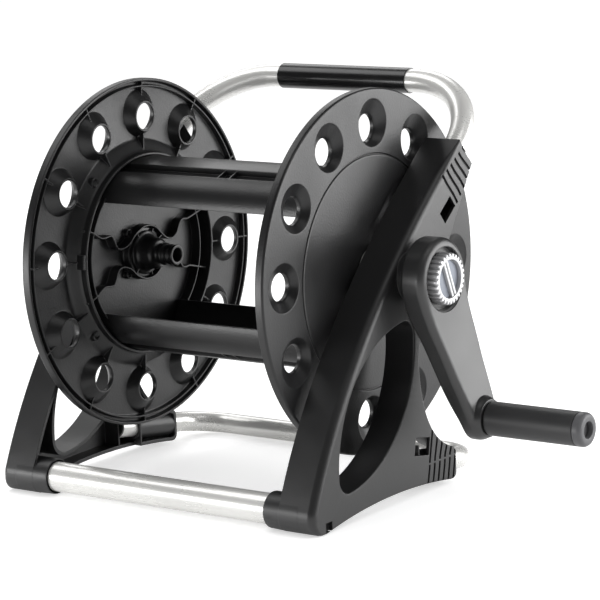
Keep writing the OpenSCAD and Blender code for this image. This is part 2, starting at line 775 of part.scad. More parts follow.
module crank_arm() {
  color("gray") crank_frame() difference() {
    union() {
      intersection() {
        crank_outline(crank_hub_w + crank_offset);
        rotate([90, 0, 0]) translate([0, 0, -2 * crank_hub_r]) linear_extrude(4 * crank_hub_r) crank_side();
      }
      // collar round the end of the grip
      translate([0, 0, -crank_throw]) along_x(crank_tip_x - 2 * crank_collar_l)
        cylinder(h = 2 * crank_collar_l, r = grip_r + 2);
    }
    // recess for the lock knob
    along_x(knob_floor_x) cylinder(h = crank_offset, r = knob_r + knob_ring_gap);
    // square seat on the shaft
    rotate([drum_turn - crank_turn, 0, 0]) translate([crank_x - 1, -square_half - run_gap, -square_half - run_gap])
      cube([crank_hub_w, 2 * (square_half + run_gap), 2 * (square_half + run_gap)]);
    // hole for the grip's pin
    translate([0, 0, -crank_throw]) along_x(crank_x - 1) cylinder(h = 100, r = pin_r + run_gap);
  }
}

module crank_washer() {
  color("silver") crank_frame() along_x(axle_boss_x + face_gap) difference() {
    cylinder(h = crank_x - axle_boss_x - face_gap, r = bush_r + 2);
    translate([0, 0, -1]) cylinder(h = 10, r = shaft_r + run_gap);
  }
}

pin_head_t = 3;
pin_end_x = grip_x + grip_l - 4;

module grip_pin() {
  inner = crank_end_x - crank_end_w + 2;
  color("silver") crank_frame() translate([0, 0, -crank_throw]) {
    along_x(inner) cylinder(h = pin_end_x - inner, r = pin_r);
    along_x(crank_tip_x) cylinder(h = 1.6, r = grip_r - 3);
    along_x(pin_end_x - pin_head_t) cylinder(h = pin_head_t, r = pin_r + 1.2);
  }
}

module grip_sleeve() {
  color("dimgray") crank_frame() translate([0, 0, -crank_throw]) difference() {
    along_x(grip_x) cylinder(h = grip_l - end_cap_l, r = grip_r);
    along_x(grip_x - 1) cylinder(h = grip_l, r = pin_r + run_gap);
  }
}

module grip_end_cap() {
  color("gray") crank_frame() translate([0, 0, -crank_throw]) difference() {
    along_x(grip_x + grip_l - end_cap_l) cylinder(h = end_cap_l, r = grip_r);
    along_x(grip_x + grip_l - end_cap_l - 1) cylinder(h = end_cap_l + 2, r = pin_r + 1.2 + 0.3);
  }
}

// ---------- lock knob ----------

module lock_knob() {
  tooth_r = knob_r - 2;
  color("silver") crank_frame() along_x(knob_floor_x + face_gap) difference() {
    union() {
      cylinder(h = knob_t, r = tooth_r);
      for (i = [0:knob_teeth - 1]) rotate(i * 360 / knob_teeth) translate([tooth_r - 1, -1.3, 0])
        cube([3, 2.6, knob_t - 1]);
      translate([0, 0, -stem_l]) cylinder(h = stem_l + 1, r = stem_r);
    }
    translate([0, 0, knob_t - 4]) cylinder(h = 5, r = knob_r * 0.68);
  }
}

module knob_cap() {
  color("gainsboro") crank_frame() along_x(knob_floor_x + face_gap + knob_t - 4) difference() {
    union() {
      cylinder(h = 1.2, r = knob_r * 0.68 - 0.2);
      rotate(14) translate([-knob_r * 0.62, -3.2, 0]) cube([knob_r * 1.24, 6.4, 3.6]);
    }
    rotate(14) translate([-knob_r * 0.5, -0.9, 2.2]) cube([knob_r, 1.8, 3]);
  }
}

// ---------- inlet ----------

clip_x = outer_x - skin_t - 4;
clip_t = 2;
clip_groove_r = spigot_r - 1.2;

module inlet_elbow() {
  spigot_end = shaft_flange_x + 6;
  color("gray") placed() mirror([1, 0, 0]) difference() {
    union() {
      along_x(spigot_end) cylinder(h = elbow_x - spigot_end, r = spigot_r);
      along_x(outer_x + face_gap) cylinder(h = 2.5, r = spigot_r + 5);
      along_x(outer_x + face_gap) cylinder(h = elbow_x - outer_x - face_gap, r = elbow_r);
      translate([elbow_x, 0, 0]) sphere(elbow_r);
      translate([elbow_x, 0, -inlet_drop]) cylinder(h = inlet_drop, r = elbow_r);
      translate([elbow_x, 0, -inlet_drop]) rotate([180, 0, 0]) nose(nose_l);
    }
    along_x(spigot_end - 1) cylinder(h = elbow_x - spigot_end + 1, r = water_r);
    translate([elbow_x, 0, -inlet_drop - nose_l - 1]) cylinder(h = inlet_drop + nose_l + 1, r = water_r);
    // groove for the clip, and two grooves for the seals
    along_x(clip_x - 0.2) linear_extrude(clip_t + 0.4) difference() { circle(spigot_r + 1); circle(clip_groove_r); }
    for (g = [4, 10]) along_x(spigot_end + g) linear_extrude(seal_t + 0.4)
      difference() { circle(spigot_r + 1); circle(spigot_r - seal_t); }
  }
}

module inlet_seals() {
  spigot_end = shaft_flange_x + 6;
  color("black") placed() mirror([1, 0, 0]) {
    for (g = [4, 10]) translate([spigot_end + g + seal_t / 2 + 0.2, 0, 0]) rotate([0, 90, 0])
      rotate_extrude() translate([spigot_r - seal_t / 2 - 0.02, 0]) circle(seal_t / 2 - 0.03, $fn = 24);
    translate([elbow_x, 0, -inlet_drop]) rotate([180, 0, 0]) nose_seal(nose_l);
  }
}

module inlet_clip() {
  color("silver") placed() mirror([1, 0, 0]) side_plate(clip_x, clip_t) difference() {
    circle(bush_r);
    circle(clip_groove_r + 0.3);
    translate([-clip_groove_r - 0.3, -bush_r - 1]) square([2 * clip_groove_r + 0.6, bush_r + 1]);
  }
}

left_side_frame();
right_side_frame();
front_tube();
rear_bow_tube();
handle_bow_tube();
handle_grip();
tube_screws();
left_bearing_bush();
right_bearing_bush();
inlet_clip();
left_flange();
right_flange();
upper_core_bar();
lower_core_bar();
water_spindle();
spindle_screws();
outlet_seal();
drive_shaft();
shaft_screws();
core_screws();
crank_arm();
crank_washer();
grip_pin();
lock_knob();
knob_cap();
grip_sleeve();
grip_end_cap();
inlet_elbow();
inlet_seals();
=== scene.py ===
# Portable garden hose reel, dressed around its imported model: camera, light, finishes, then each piece.
import json, math
import bpy, bmesh
import numpy as np
from mathutils import Matrix, Vector
from mathutils.geometry import delaunay_2d_cdt


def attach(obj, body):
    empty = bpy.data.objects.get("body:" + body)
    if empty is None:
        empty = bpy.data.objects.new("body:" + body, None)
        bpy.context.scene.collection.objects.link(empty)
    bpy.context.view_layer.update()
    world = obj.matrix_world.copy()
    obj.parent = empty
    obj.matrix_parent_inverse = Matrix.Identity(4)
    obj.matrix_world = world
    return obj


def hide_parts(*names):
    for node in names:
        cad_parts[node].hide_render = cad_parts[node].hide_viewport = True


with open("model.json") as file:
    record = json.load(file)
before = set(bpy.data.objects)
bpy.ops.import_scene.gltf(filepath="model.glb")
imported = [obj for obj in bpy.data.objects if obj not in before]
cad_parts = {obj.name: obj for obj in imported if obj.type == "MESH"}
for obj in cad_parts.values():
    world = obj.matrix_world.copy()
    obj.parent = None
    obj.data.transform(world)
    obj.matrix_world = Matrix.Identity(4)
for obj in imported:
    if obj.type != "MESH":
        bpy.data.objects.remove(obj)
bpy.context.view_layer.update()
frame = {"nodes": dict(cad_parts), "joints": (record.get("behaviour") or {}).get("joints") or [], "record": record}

nodes = frame["nodes"]
joints = {j["name"]: j for j in frame["joints"]}
axle = Vector(joints["drum_spin"]["pos_m"])
scene = bpy.context.scene
print("frame loaded:", len(nodes), "nodes")


def mm(v):
    return v / 1000


def place(x, y, z):  # a point in millimetres from the middle of the axle
    return axle + Vector((mm(x), mm(y), mm(z)))


def bodyOf(node):
    return next(b for b, members in frame["record"]["behaviour"]["bodies"].items() if node in members)


def slotOf(node):
    return next(p["material_slot"] for p in frame["record"]["subparts"] if p["node"] == node)


# camera

camera = dict(azimuth=36.305, elevation=10.755, roll=-2.245, lens=169.5, at=(1414.94, -1858.91, 409.14))


def addCamera(c):
    a, e, r = (math.radians(c[k]) for k in ("azimuth", "elevation", "roll"))
    back = Vector((math.sin(a) * math.cos(e), -math.cos(a) * math.cos(e), math.sin(e)))
    level = Vector((math.cos(a), math.sin(a), 0))
    upright = back.cross(level)
    right = level * math.cos(r) + upright * math.sin(r)
    facing = Matrix((right, back.cross(right), back)).transposed().to_4x4()
    data = bpy.data.cameras.new("camera")
    data.lens, data.sensor_width = c["lens"], 36
    data.clip_start, data.clip_end = 0.05, 50
    cam = bpy.data.objects.new("camera", data)
    cam.matrix_world = Matrix.Translation(place(*c["at"])) @ facing
    scene.collection.objects.link(cam)
    scene.camera = cam


addCamera(camera)

# light, floor and backdrop

studio = dict(
    ambient=0.62, mirrored=0.05,  # the room as matt faces meet it, and as gloss mirrors it
    rightBox=dict(at=(1.38, 1.14, 0.45), size=(2.0, 1.1), power=32),
    backBox=dict(at=(-1.1, 1.25, 1.35), size=(1.3, 0.9), power=8),
    topBox=dict(at=(0.9, -0.1, 1.7), size=(1.2, 0.8), power=3),
    overBox=dict(at=(-0.95, -0.2, 1.4), size=(0.9, 0.6), power=4.4),
    frontBox=dict(at=(-0.75, -1.05, 0.11), size=(1.2, 0.2), power=7),
    aim=(0, 0, 0.17), floorSize=40, floorDrop=0.0004, floorTone=0.86, floorGlow=0.5, floorMirrored=0.45)


def addSoftbox(name, aim, at, size, power):
    data = bpy.data.lights.new(name, "AREA")
    data.shape, data.size, data.size_y, data.energy = "RECTANGLE", size[0], size[1], power
    lamp = bpy.data.objects.new(name, data)
    lamp.location = at
    lamp.rotation_mode = "QUATERNION"
    lamp.rotation_quaternion = (Vector(aim) - Vector(at)).to_track_quat("-Z", "Y")
    scene.collection.objects.link(lamp)


def mathNode(tree, operation, a, b):
    node = tree.nodes.new("ShaderNodeMath")
    node.operation = operation
    for slot, value in enumerate((a, b)):
        if isinstance(value, (int, float)):
            node.inputs[slot].default_value = value
        else:
            tree.links.new(value, node.inputs[slot])
    return node.outputs[0]


def whereSeen(tree, matt, gloss):  # 1 to the camera and through clear plastic, or the ray's own share
    path = tree.nodes.new("ShaderNodeLightPath")
    share = mathNode(tree, "MULTIPLY", path.outputs["Is Glossy Ray"], gloss - matt)
    share = mathNode(tree, "ADD", share, matt)
    share = mathNode(tree, "MAXIMUM", share, path.outputs["Is Camera Ray"])
    return mathNode(tree, "MAXIMUM", share, path.outputs["Is Transmission Ray"])


def buildStudio(s):
    world = bpy.data.worlds.new("studio")
    scene.world = world
    world.use_nodes = True
    t = world.node_tree
    t.nodes.clear()
    out = t.nodes.new("ShaderNodeOutputWorld")
    sky = t.nodes.new("ShaderNodeBackground")
    sky.inputs["Color"].default_value = (1, 1, 1, 1)
    t.links.new(whereSeen(t, s["ambient"], s["mirrored"]), sky.inputs["Strength"])
    t.links.new(sky.outputs[0], out.inputs["Surface"])

    for name in ("rightBox", "backBox", "topBox", "overBox", "frontBox"):
        addSoftbox(name, s["aim"], **s[name])

    half = s["floorSize"] / 2
    mesh = bpy.data.meshes.new("floor")
    corners = [(-half, -half, 0), (half, -half, 0), (half, half, 0), (-half, half, 0)]
    mesh.from_pydata(corners, [], [(0, 1, 2, 3)])
    floor = bpy.data.objects.new("floor", mesh)
    floor.location.z = -s["floorDrop"]
    scene.collection.objects.link(floor)
    m = bpy.data.materials.new("paleFloor")
    m.use_nodes = True
    t = m.node_tree
    t.nodes.clear()
    out = t.nodes.new("ShaderNodeOutputMaterial")
    matt = t.nodes.new("ShaderNodeBsdfDiffuse")
    matt.inputs["Color"].default_value = (*[s["floorTone"]] * 3, 1)
    glow = t.nodes.new("ShaderNodeEmission")
    glowing = mathNode(t, "MULTIPLY", whereSeen(t, 0, s["floorMirrored"]), s["floorGlow"])
    t.links.new(glowing, glow.inputs["Strength"])
    both = t.nodes.new("ShaderNodeAddShader")
    t.links.new(matt.outputs[0], both.inputs[0])
    t.links.new(glow.outputs[0], both.inputs[1])
    t.links.new(both.outputs[0], out.inputs["Surface"])
    mesh.materials.append(m)
    scene.view_settings.view_transform = "Standard"


buildStudio(studio)
print("camera, light and floor ready")

# finishes


def newFinish(name):
    m = bpy.data.materials.new(name)
    m.use_nodes = True
    t = m.node_tree
    return m, t, t.nodes["Principled BSDF"]


def noiseAt(t, scale, detail=3.0, stretch=None):
    coord = t.nodes.new("ShaderNodeTexCoord")
    noise = t.nodes.new("ShaderNodeTexNoise")
    noise.inputs["Scale"].default_value = scale
    noise.inputs["Detail"].default_value = detail
    source = coord.outputs["Object"]
    if stretch:
        mapping = t.nodes.new("ShaderNodeMapping")
        mapping.inputs["Scale"].default_value = stretch
        t.links.new(source, mapping.inputs["Vector"])
        source = mapping.outputs[0]
    t.links.new(source, noise.inputs["Vector"])
    return noise.outputs["Fac"]


def rangeOf(t, value, low, high, fromLow=0.3, fromHigh=0.7):
    m = t.nodes.new("ShaderNodeMapRange")
    m.inputs["From Min"].default_value, m.inputs["From Max"].default_value = fromLow, fromHigh
    m.inputs["To Min"].default_value, m.inputs["To Max"].default_value = low, high
    t.links.new(value, m.inputs["Value"])
    return m.outputs[0]


def blendColours(t, factor, a, b):
    mix = t.nodes.new("ShaderNodeMix")
    mix.data_type = "RGBA"
    for slot, colour in (("A", a), ("B", b)):
        if isinstance(colour, (list, tuple)):
            mix.inputs[slot].default_value = (*colour, 1)
        else:
            t.links.new(colour, mix.inputs[slot])
    t.links.new(factor, mix.inputs["Factor"])
    return mix.outputs["Result"]


# the four edge values set how much lighter the edges are painted: edge wear together with a painted edge highlight
plasticLook = dict(
    flowScale=18, flowDetail=4, speckDetail=2, flowTones=(0.86, 1.12), flowRough=(-0.04, 0.05),
    wearAndHighlightGain=2.1, wearAndHighlightLift=0.07, wearAndHighlightFrom=0.75, wearAndHighlightTo=0.995, bevelSamples=6)


def mouldedPlastic(name, tone, rough, grain, grainScale=2600, gloss=0.5, wearAndHighlight=0.25, softness=0.8,
                   depth=0.06):
    # moulded grain over faint flow marks, with soft edges painted a little lighter: partly edge wear, partly a
    # painted highlight along the rounded edges
    m, t, b = newFinish(name)
    look = plasticLook
    flow = noiseAt(t, look["flowScale"], look["flowDetail"])
    speck = noiseAt(t, grainScale, look["speckDetail"])
    dark, pale = ([c * k for c in tone] for k in look["flowTones"])
    body = blendColours(t, rangeOf(t, flow, 0, 1), dark, pale)
    bevel = t.nodes.new("ShaderNodeBevel")
    bevel.samples = look["bevelSamples"]
    bevel.inputs["Radius"].default_value = mm(softness)
    geometry = t.nodes.new("ShaderNodeNewGeometry")
    dot = t.nodes.new("ShaderNodeVectorMath")
    dot.operation = "DOT_PRODUCT"
    t.links.new(bevel.outputs[0], dot.inputs[0])
    t.links.new(geometry.outputs["Normal"], dot.inputs[1])
    # painted highlight and edge wear: the colour turns lighter where the bevel normal leans away from the face
    wearAndHighlightMask = rangeOf(t, dot.outputs["Value"], wearAndHighlight, 0, look["wearAndHighlightFrom"], look["wearAndHighlightTo"])
    wearAndHighlightTone = [min(1, c * look["wearAndHighlightGain"] + look["wearAndHighlightLift"]) for c in tone]
    t.links.new(blendColours(t, wearAndHighlightMask, body, wearAndHighlightTone), b.inputs["Base Color"])
    smooth, dull = (rough + k for k in look["flowRough"])
    t.links.new(rangeOf(t, flow, smooth, dull), b.inputs["Roughness"])
    b.inputs["Specular IOR Level"].default_value = gloss
    bump = t.nodes.new("ShaderNodeBump")
    bump.inputs["Strength"].default_value = grain
    bump.inputs["Distance"].default_value = mm(depth)
    t.links.new(speck, bump.inputs["Height"])
    t.links.new(bevel.outputs[0], bump.inputs["Normal"])
    t.links.new(bump.outputs[0], b.inputs["Normal"])
    return m


metalLook = dict(lineScale=900, polishScale=14, detail=3, dulled=0.95, lineDepth=0.05)


def brightMetal(name, tone, rough, along=(1, 1, 1), bump=0.05, patches=0.06, metal=1.0):
    # drawn metal: fine lines along the tube and slow changes in polish
    m, t, b = newFinish(name)
    b.inputs["Metallic"].default_value = metal
    look = metalLook
    lines = noiseAt(t, look["lineScale"], look["detail"], along)
    slow = noiseAt(t, look["polishScale"], look["detail"])
    body = blendColours(t, rangeOf(t, slow, 0, 1), [c * look["dulled"] for c in tone], tone)
    t.links.new(body, b.inputs["Base Color"])
    mixed = t.nodes.new("ShaderNodeMath")
    mixed.operation = "MULTIPLY_ADD"
    mixed.inputs[1].default_value = patches
    t.links.new(lines, mixed.inputs[0])
    t.links.new(rangeOf(t, slow, rough - patches / 2, rough + patches / 2), mixed.inputs[2])
    t.links.new(mixed.outputs[0], b.inputs["Roughness"])
    bumpNode = t.nodes.new("ShaderNodeBump")
    bumpNode.inputs["Strength"].default_value = bump
    bumpNode.inputs["Distance"].default_value = mm(look["lineDepth"])
    t.links.new(lines, bumpNode.inputs["Height"])
    t.links.new(bumpNode.outputs[0], b.inputs["Normal"])
    return m


finishes = dict(
    frame_plastic=mouldedPlastic("anthraciteFrame", (0.013, 0.013, 0.0135), 0.41, 0.6, 800, 0.75, 0.35,
                                 depth=0.08),
    drum_plastic=mouldedPlastic("anthraciteDrum", (0.011, 0.011, 0.0115), 0.36, 0.9, 620, 0.55, 0.5,
                                depth=0.13),
    spindle_plastic=mouldedPlastic("spindleBlack", (0.010, 0.010, 0.0105), 0.32, 0.2, gloss=0.55),
    crank_plastic=mouldedPlastic("crankGrey", (0.022, 0.022, 0.0225), 0.36, 0.25, gloss=0.8),
    crank_grip_plastic=mouldedPlastic("gripAnthracite", (0.034, 0.034, 0.035), 0.46, 0.25, gloss=0.6),
    grip_cap_plastic=mouldedPlastic("gripCapGrey", (0.10, 0.10, 0.105), 0.38, 0.2),
    bush_plastic=mouldedPlastic("bushPale", (0.30, 0.30, 0.29), 0.45, 0.1, softness=0.3),
    inlet_plastic=mouldedPlastic("inletGrey", (0.06, 0.06, 0.063), 0.38, 0.2),
    handle_black=mouldedPlastic("handleGloss", (0.010, 0.010, 0.0105), 0.22, 0.05, 1400, 0.6, 0.1, 0.4),
    seal_rubber=mouldedPlastic("sealRubber", (0.015, 0.015, 0.015), 0.62, 0.3, 3000, 0.3, softness=0.2),
    tube_aluminium=brightMetal("drawnAluminium", (0.92, 0.915, 0.89), 0.25, (0.03, 1, 1), metal=0.5),
    screw_steel=brightMetal("blackenedSteel", (0.08, 0.08, 0.083), 0.34),
    knob_silver=brightMetal("knobSilver", (0.66, 0.66, 0.67), 0.34, metal=0.6),
    knob_cap_silver=brightMetal("knobCapSilver", (0.22, 0.235, 0.27), 0.36, metal=0.6))

for name, obj in nodes.items():
    obj.data.materials.clear()
    obj.data.materials.append(finishes[slotOf(name)])
print("finishes ready:", len(finishes))

# mesh makers; a shape is its points and faces, in millimetres from the middle of the axle


nearAxis = 0.001  # the radius that stands for a point on the axis


def newShape():
    return [], []


def addLoop(shape, points):
    start = len(shape[0])
    shape[0].extend(tuple(p) for p in points)
    return list(range(start, start + len(points)))


def stitch(shape, loops, ring=False):  # a skin from loop to loop, and back to the first in a ring
    for a, b in zip(loops, loops[1:] + loops[:1] if ring else loops[1:]):
        for i in range(len(a)):
            j = (i + 1) % len(a)
            shape[1].append((a[i], a[j], b[j], b[i]))


def encloses(loop, p):
    inside = False
    for a, b in zip(loop, loop[1:] + loop[:1]):
        if (a.y > p.y) != (b.y > p.y) and p.x < a.x + (p.y - a.y) * (b.x - a.x) / (b.y - a.y):
            inside = not inside
    return inside


def fillFlat(shape, *loops):  # a flat face with holes: the first loop is its edge
    rings = [[Vector(shape[0][i][1:]) for i in loop] for loop in loops]
    flat = [p for ring in rings for p in ring]
    order = [i for loop in loops for i in loop]
    edges, first = [], 0
    for ring in rings:
        edges += [(first + k, first + (k + 1) % len(ring)) for k in range(len(ring))]
        first += len(ring)
    _, _, faces, origins, _, _ = delaunay_2d_cdt(flat, edges, [], 0, 1e-7)
    for face in faces:
        corners = [origins[k][0] for k in face]
        middle = sum((flat[k] for k in corners), Vector((0, 0))) / len(corners)
        if encloses(rings[0], middle) and not any(encloses(ring, middle) for ring in rings[1:]):
            shape[1].append(tuple(order[k] for k in corners))


def circle(x, cy, cz, r, count):
    turn = 2 * math.pi / count
    return [(x, cy + r * math.cos(turn * i), cz + r * math.sin(turn * i)) for i in range(count)]


def lathe(shape, profile, count=96, centre=(0, 0), ring=False):  # profile: distance along the axle, radius
    loops = [addLoop(shape, circle(x, *centre, max(r, nearAxis / 2), count)) for x, r in profile]
    stitch(shape, loops, ring)
    return loops


def solidLathe(shape, profile, count=96):  # a turned piece with closed ends
    loops = lathe(shape, profile, count)
    fillFlat(shape, loops[0])
    fillFlat(shape, loops[-1])


def quarter(x, r, dx, dr, steps=5):  # a rounded corner: from dx before the corner to dr past it
    turns = [math.pi / 2 * i / steps for i in range(steps + 1)]
    return [(x - dx * (1 - math.sin(a)), r - dr * (1 - math.cos(a))) for a in turns]


def rib(shape, path, x0, x1, width, soft=0.45):  # a thin wall standing on a plate, with a rounded top
    path = [Vector(p) for p in path]
    up = -1 if x1 < x0 else 1
    half = width / 2
    edge = [(x0, half), (x1 - up * soft, half), (x1 - up * soft * 0.3, half - soft * 0.3), (x1, half - soft)]
    section = [(x, -y) for x, y in edge] + edge[::-1]
    loops = []
    for i, p in enumerate(path):
        along = (path[min(i + 1, len(path) - 1)] - path[max(i - 1, 0)]).normalized()
        side = Vector((-along.y, along.x))
        loops.append(addLoop(shape, [(x, *(p + side * s)) for x, s in section]))
    stitch(shape, loops)
    shape[1].append(tuple(reversed(loops[0])))
    shape[1].append(tuple(loops[-1]))


def smoothPath(points, steps=6):  # a curve through every point
    p = [Vector(q) for q in points]
    p = [2 * p[0] - p[1]] + p + [2 * p[-1] - p[-2]]
    path = []
    for a, b, c, d in zip(p, p[1:], p[2:], p[3:]):
        for i in range(steps):
            t = i / steps
            path.append(0.5 * (2 * b + (c - a) * t + (2 * a - 5 * b + 4 * c - d) * t * t
                               + (3 * b - a - 3 * c + d) * t ** 3))
    return path + [p[-2]]


def polar(r, degrees):
    return r * math.cos(math.radians(degrees)), r * math.sin(math.radians(degrees))


def arc(centre, r, a0, a1, steps=10):
    turns = [math.radians(a0 + (a1 - a0) * i / steps) for i in range(steps + 1)]
    return [Vector((centre[0] + r * math.cos(a), centre[1] + r * math.sin(a))) for a in turns]


def bend(a, b, c, steps=14):  # from a to c, pulled towards b
    a, b, c = Vector(a), Vector(b), Vector(c)
    return [(1 - i / steps) ** 2 * a + 2 * (i / steps) * (1 - i / steps) * b + (i / steps) ** 2 * c
            for i in range(steps + 1)]


def meshOf(name, shape, turn=0, mirrored=False):
    spin = Matrix.Rotation(math.radians(turn), 4, "X")
    flip = -1 if mirrored else 1
    mesh = bpy.data.meshes.new(name)
    mesh.from_pydata([axle + (spin @ Vector((flip * x, y, z))) / 1000 for x, y, z in shape[0]], [], shape[1])
    return mesh


weldGap, sliver, seamGap = mm(0.004), mm(0.002), mm(0.005)


def tidyMesh(mesh, crease=33):  # welded, facing outwards, and sharp only past the crease angle
    bm = bmesh.new()
    bm.from_mesh(mesh)
    bmesh.ops.remove_doubles(bm, verts=bm.verts, dist=weldGap)
    bmesh.ops.dissolve_degenerate(bm, edges=bm.edges, dist=sliver)
    bmesh.ops.recalc_face_normals(bm, faces=bm.faces)
    limit = math.radians(crease)
    for edge in bm.edges:
        edge.smooth = not (len(edge.link_faces) == 2 and edge.calc_face_angle(0) > limit)
    for face in bm.faces:
        face.smooth = True
    bm.to_mesh(mesh)
    bm.free()


def addPiece(name, mesh, *replaced):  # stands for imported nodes, with the first one's body and finish
    node = replaced[0]
    piece = bpy.data.objects.new(name, mesh)
    scene.collection.objects.link(piece)
    mesh.materials.clear()
    mesh.materials.append(finishes[slotOf(node)])
    normals = piece.modifiers.new("normals", "WEIGHTED_NORMAL")
    normals.keep_sharp = True
    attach(piece, bodyOf(node))
    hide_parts(*replaced)


def combine(base, tool, operation):  # one mesh cut by another, or kept inside it
    a, b = bpy.data.objects.new("base", base), bpy.data.objects.new("tool", tool)
    scene.collection.objects.link(a)
    scene.collection.objects.link(b)
    cut = a.modifiers.new("cut", "BOOLEAN")
    cut.operation, cut.solver, cut.object = operation, "EXACT", b
    bpy.context.view_layer.update()
    result = bpy.data.meshes.new_from_object(a.evaluated_get(bpy.context.evaluated_depsgraph_get()))
    bpy.data.objects.remove(a)
    bpy.data.objects.remove(b)
    return result


def solidOf(node):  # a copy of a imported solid, with its seams closed
    mesh = nodes[node].data.copy()
    bm = bmesh.new()
    bm.from_mesh(mesh)
    bmesh.ops.remove_doubles(bm, verts=bm.verts, dist=seamGap)
    bm.to_mesh(mesh)
    bm.free()
    return mesh


def joinMeshes(name, *meshes):
    bm = bmesh.new()
    for mesh in meshes:
        bm.from_mesh(mesh)
    joined = bpy.data.meshes.new(name)
    bm.to_mesh(joined)
    bm.free()
    return joined

# drum flanges

flange = dict(
    turn=-3.5,  # the drum's angle at rest
    outer=123.5, inner=120.9, rimIn=115.5, radius=150, rimFillet=2.0, steps=192,
    holes=12, holeAngle=90, holeCircle=117.4, holeRadius=11.3, dimpleCircle=121.7, dimpleRadius=20.3,
    collar=107.5, ringRadius=74.2, ringHeight=111.9, ribWidth=1.5, wavyHeight=111.8, hubFace=114.5,
    bossCircle=25.6, screwCircle=92)

upperWave = [
    (-82, 31), (-71, 28), (-63, 23), (-57, 21), (-50, 21.5), (-46, 21), (-43, 17), (-40, 11), (-37, 8.6),
    (-33, 8), (-27, 9), (-21, 12), (-16, 16.5), (-10, 20), (-3, 22.6), (4, 23), (10, 21.8), (15, 19),
    (19, 15.5), (23, 12), (28, 8.5), (34, 7), (38, 8), (42, 11), (45, 16), (48, 20), (52, 21.5), (58, 21),
    (68, 23.5), (82, 27)]  # the wavy rib above the hub, from front to rear


def flangeShape(f):
    shape = newShape()
    out, flat, top, edge = f["outer"], f["inner"], f["rimIn"], f["radius"]
    hub, collar = f["hubFace"], f["collar"]
    rim = lathe(shape, quarter(out, edge, f["rimFillet"], f["rimFillet"])[::-1] + [
        (top + 1.2, edge), (top + 0.35, edge - 0.35), (top, edge - 1.1), (top, edge - 1.9),
        (top + 0.4, edge - 2.4), (top + 1.1, edge - 2.6), (flat - 1.2, edge - 2.8), (flat - 0.4, edge - 3.4),
        (flat - 0.4, edge - 5.2), (flat - 1.2, edge - 5.7), (top + 0.9, edge - 6), (top + 0.3, edge - 6.3),
        (top + 0.3, edge - 7.2), (top + 0.9, edge - 7.5), (flat - 0.8, edge - 7.7), (flat - 0.2, edge - 8),
        (flat, edge - 8.7)], f["steps"])
    middle = lathe(shape, [
        (out, 97.6), (out - 0.35, 97.2), (out - 1.3, 96.9), (out - 1.3, 96.1), (out - 0.35, 95.8),
        (out - 0.05, 95.2), (out + 0.02, 94.4), (out + 0.02, 20), (out - 0.5, 16.5), (out - 1.5, 15.4),
        (hub + 0.8, 15.4), (hub, 16.2), (hub, 20.4), (hub + 0.5, 21.4), (hub + 1.5, 21.9), (flat - 1, 22.4),
        (flat - 0.3, 23), (flat, 24), (flat, 82.6), (flat - 0.5, 83.6), (flat - 1.3, 84),
        (collar + 0.6, 84.3), (collar, 84.9), (collar, 86.2), (collar + 0.6, 86.8), (113.2, 87.1),
        (114.1, 87.8), (115.2, 89.2), (118.2, 94.4), (119.6, 96.4), (120.5, 97.5), (flat, 98.9)], f["steps"])
    hole, dimple = f["holeCircle"], f["dimpleCircle"]
    small, large = f["holeRadius"], f["dimpleRadius"]
    section = [  # along the axle, centre, radius: a cone that leans outwards, with its lip inside
        (out, dimple, large), (out - 0.12, dimple, large - 0.5), (out - 0.5, dimple - 0.04, large - 1),
        (out - 1.1, dimple - 0.2, large - 1.6), (118.2, 118.6, 13.3), (117.3, 118.0, 12.3),
        (116.6, 117.6, 11.6), (115.8, hole, small + 0.05), (113.4, hole, small), (112.8, hole, small + 0.3),
        (112.6, hole, small + 1), (112.7, hole + 0.05, small + 1.7), (113.4, 117.6, 13.7),
        (118.4, 119.6, 18.3), (119.8, 120.0, 19.4), (120.6, 120.2, 20.1), (flat, 120.2, 20.6)]
    outerHoles, innerHoles = [], []
    for k in range(f["holes"]):
        a = f["holeAngle"] + 360 * k / f["holes"]
        loops = [addLoop(shape, circle(x, *polar(c, a), r, 48)) for x, c, r in section]
        stitch(shape, loops)
        outerHoles.append(loops[0])
        innerHoles.append(loops[-1])
    fillFlat(shape, rim[0], middle[0], *outerHoles)
    fillFlat(shape, rim[-1], middle[-1], *innerHoles)
    return shape


